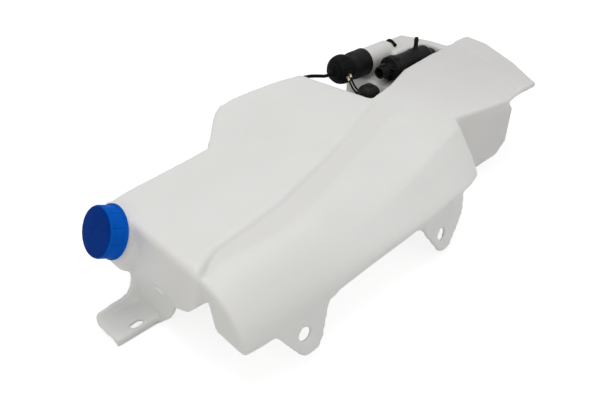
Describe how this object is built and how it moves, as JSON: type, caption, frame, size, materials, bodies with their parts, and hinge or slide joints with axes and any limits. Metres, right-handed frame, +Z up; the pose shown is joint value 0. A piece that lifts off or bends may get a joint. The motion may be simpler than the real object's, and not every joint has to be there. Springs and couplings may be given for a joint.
{
  "type": "washer fluid reservoir",
  "caption": "Long blow-moulded washer fluid tank with a screw cap, hanging fixing ears, a slotted leg, electric pumps and a level sensor in a recess.",
  "frame": {"origin": "on the flat underside, below the middle of the tank", "axes": "+X along the tank from the filler neck to the flanged end, +Y to the pump side, +Z up from the underside to the flat top"},
  "size_m": [0.7205, 0.3453, 0.131],
  "materials": {
    "white_plastic": "natural white polyethylene, slightly translucent, satin",
    "blue_plastic": "bright blue moulded plastic, semi-gloss",
    "black_plastic": "black moulded plastic, satin",
    "black_rubber": "black rubber, matt",
    "steel": "plain steel",
    "copper": "plain copper",
    "brass": "plain brass",
    "ferrite": "dark ferrite, matt",
    "carbon": "carbon, matt",
    "glass": "clear glass capsule"
  },
  "bodies": {
    "reservoir": {"harness_cable": "black_rubber", "harness_plug": "black_plastic", "pump_1_boot": "black_rubber", "pump_1_brush_1": "carbon", "pump_1_brush_2": "carbon", "pump_1_brush_plate": "black_plastic", "pump_1_grommet": "black_rubber", "pump_1_head": "black_plastic", "pump_1_inlet_cover": "black_plastic", "pump_1_magnet_1": "ferrite", "pump_1_magnet_2": "ferrite", "pump_1_motor_can": "steel", "pump_1_motor_cover": "black_plastic", "pump_1_shaft_seal": "black_rubber", "pump_1_strainer": "white_plastic", "pump_1_terminal_1": "brass", "pump_1_terminal_2": "brass", "pump_2_brush_1": "carbon", "pump_2_brush_2": "carbon", "pump_2_brush_plate": "black_plastic", "pump_2_grommet": "black_rubber", "pump_2_head": "black_plastic", "pump_2_inlet_cover": "black_plastic", "pump_2_magnet_1": "ferrite", "pump_2_magnet_2": "ferrite", "pump_2_motor_can": "steel", "pump_2_motor_cover": "black_plastic", "pump_2_shaft_seal": "black_rubber", "pump_2_strainer": "white_plastic", "pump_2_terminal_1": "brass", "pump_2_terminal_2": "brass", "reed_switch": "glass", "sensor_grommet": "black_rubber", "sensor_head": "black_plastic", "sensor_lead_a": "black_rubber", "sensor_lead_b": "black_rubber", "sensor_pin": "steel", "sensor_stem": "black_plastic", "tank": "white_plastic", "vent_elbow": "black_rubber"},
    "cap": {"filler_cap": "blue_plastic"},
    "cap_lifter": {"cap_seal": "black_rubber"},
    "rotor_1": {"pump_1_rotor_shaft": "steel", "pump_1_commutator": "copper", "pump_1_rotor_core": "steel", "pump_1_impeller": "white_plastic"},
    "rotor_2": {"pump_2_rotor_shaft": "steel", "pump_2_commutator": "copper", "pump_2_rotor_core": "steel", "pump_2_impeller": "white_plastic"},
    "float": {"sensor_float": "white_plastic", "float_magnet": "ferrite"}
  },
  "joints": [
    {"name": "cap_lift", "type": "slide", "parent": "reservoir", "child": "cap_lifter", "axis": [-0.887, 0, 0.4617], "range_m": [0, 0.0102]},
    {"name": "cap_turn", "type": "hinge", "parent": "cap_lifter", "child": "cap", "pos_m": [-0.3134, 0.0305, 0.0898], "axis": [-0.887, 0, 0.4617], "range_deg": [0, 720]},
    {"name": "pump_1_spin", "type": "hinge", "parent": "reservoir", "child": "rotor_1", "pos_m": [0.172, 0.133, 0.098], "axis": [1, 0, 0], "continuous": true},
    {"name": "pump_2_spin", "type": "hinge", "parent": "reservoir", "child": "rotor_2", "pos_m": [0.29, 0.087, 0.098], "axis": [1, 0, 0], "continuous": true},
    {"name": "float_swing", "type": "hinge", "parent": "reservoir", "child": "float", "pos_m": [0.119, 0.071, 0.0305], "axis": [0, 1, 0], "range_deg": [-65, 10]}
  ],
  "couplings": [
    {"joint": "cap_lift", "follows": "cap_turn", "m_per_rad": 0.00079577}
  ]
}
